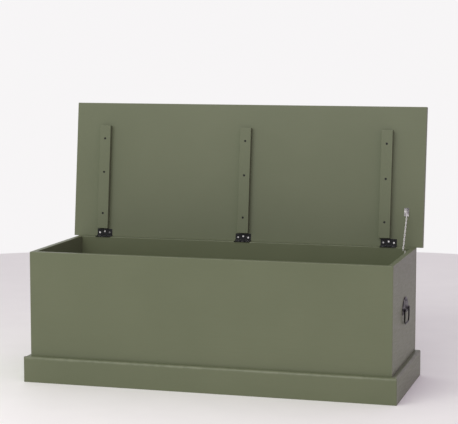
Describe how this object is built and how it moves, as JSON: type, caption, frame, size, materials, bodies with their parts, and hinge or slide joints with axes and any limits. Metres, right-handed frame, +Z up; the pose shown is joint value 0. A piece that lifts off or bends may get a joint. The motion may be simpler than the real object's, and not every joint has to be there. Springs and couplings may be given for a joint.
{
  "type": "wooden toy box",
  "caption": "Long low painted wooden toy box with a plinth, a hinged lid held open by a chain stay, battens under the lid and a drop handle at each end.",
  "frame": {"origin": "centre of the body's footprint at floor level, under the centre bearer", "axes": "+Z up; +X along the length, to the right as seen from the front; +Y towards the hinges at the back"},
  "size_m": [1.24, 0.5391, 0.8953],
  "materials": {
    "painted_wood": "satin olive green paint",
    "bare_wood": "bare softwood",
    "black_iron": "black, worn to grey on the high parts",
    "black_steel": "semi-gloss black",
    "screw_steel": "zinc plated",
    "bright_steel": "nickel plated"
  },
  "bodies": {
    "box": {"back_board": "painted_wood", "bottom_panel": "painted_wood", "centre_bearer": "bare_wood", "cleat_back": "bare_wood", "cleat_front": "bare_wood", "cleat_left": "bare_wood", "cleat_right": "bare_wood", "cleat_screws": "screw_steel", "dowels_back_left": "bare_wood", "dowels_back_right": "bare_wood", "dowels_front_left": "bare_wood", "dowels_front_right": "bare_wood", "front_board": "painted_wood", "handle_left_plate": "black_iron", "handle_left_screws": "black_iron", "handle_right_plate": "black_iron", "handle_right_screws": "black_iron", "hinge_left_lower_leaf": "black_steel", "hinge_left_pin": "black_steel", "hinge_lower_screws": "screw_steel", "hinge_middle_lower_leaf": "black_steel", "hinge_middle_pin": "black_steel", "hinge_right_lower_leaf": "black_steel", "hinge_right_pin": "black_steel", "left_side_board": "painted_wood", "plinth_front": "painted_wood", "plinth_left": "painted_wood", "plinth_right": "painted_wood", "right_side_board": "painted_wood", "stay_side_post": "bright_steel", "stay_side_screws": "screw_steel"},
    "lid": {"batten_screws": "black_steel", "hinge_left_upper_leaf": "black_steel", "hinge_middle_upper_leaf": "black_steel", "hinge_right_upper_leaf": "black_steel", "hinge_upper_screws": "screw_steel", "lid_batten_left": "painted_wood", "lid_batten_middle": "painted_wood", "lid_batten_right": "painted_wood", "lid_panel": "painted_wood", "stay_lid_eye": "bright_steel", "stay_lid_screws": "screw_steel"},
    "stay_lower": {"stay_lower_chain": "bright_steel"},
    "stay_upper": {"stay_upper_chain": "bright_steel"},
    "left_bail": {"handle_left_bail": "black_iron"},
    "right_bail": {"handle_right_bail": "black_iron"}
  },
  "joints": [
    {"name": "lid_hinge", "type": "hinge", "parent": "box", "child": "lid", "pos_m": [0, 0.2245, 0.4327], "axis": [1, 0, 0], "range_deg": [0, 97.2]},
    {"name": "stay_post_hinge", "type": "hinge", "parent": "box", "child": "stay_lower", "pos_m": [0.572, 0.1175, 0.357], "axis": [1, 0, 0], "range_deg": [-101.08, 0]},
    {"name": "stay_eye_hinge", "type": "hinge", "parent": "lid", "child": "stay_upper", "pos_m": [0.565, 0.23234, 0.54655], "axis": [1, 0, 0], "range_deg": [-37.81, 0]},
    {"name": "left_bail_hinge", "type": "hinge", "parent": "box", "child": "left_bail", "pos_m": [-0.6066, 0, 0.262], "axis": [0, 1, 0], "range_deg": [0, 90]},
    {"name": "right_bail_hinge", "type": "hinge", "parent": "box", "child": "right_bail", "pos_m": [0.6066, 0, 0.262], "axis": [0, -1, 0], "range_deg": [0, 90]}
  ],
  "couplings": [
    {"joint": "stay_post_hinge", "follows": "lid_hinge", "ratio": -1.0348},
    {"joint": "stay_eye_hinge", "follows": "lid_hinge", "ratio": -0.3839}
  ]
}
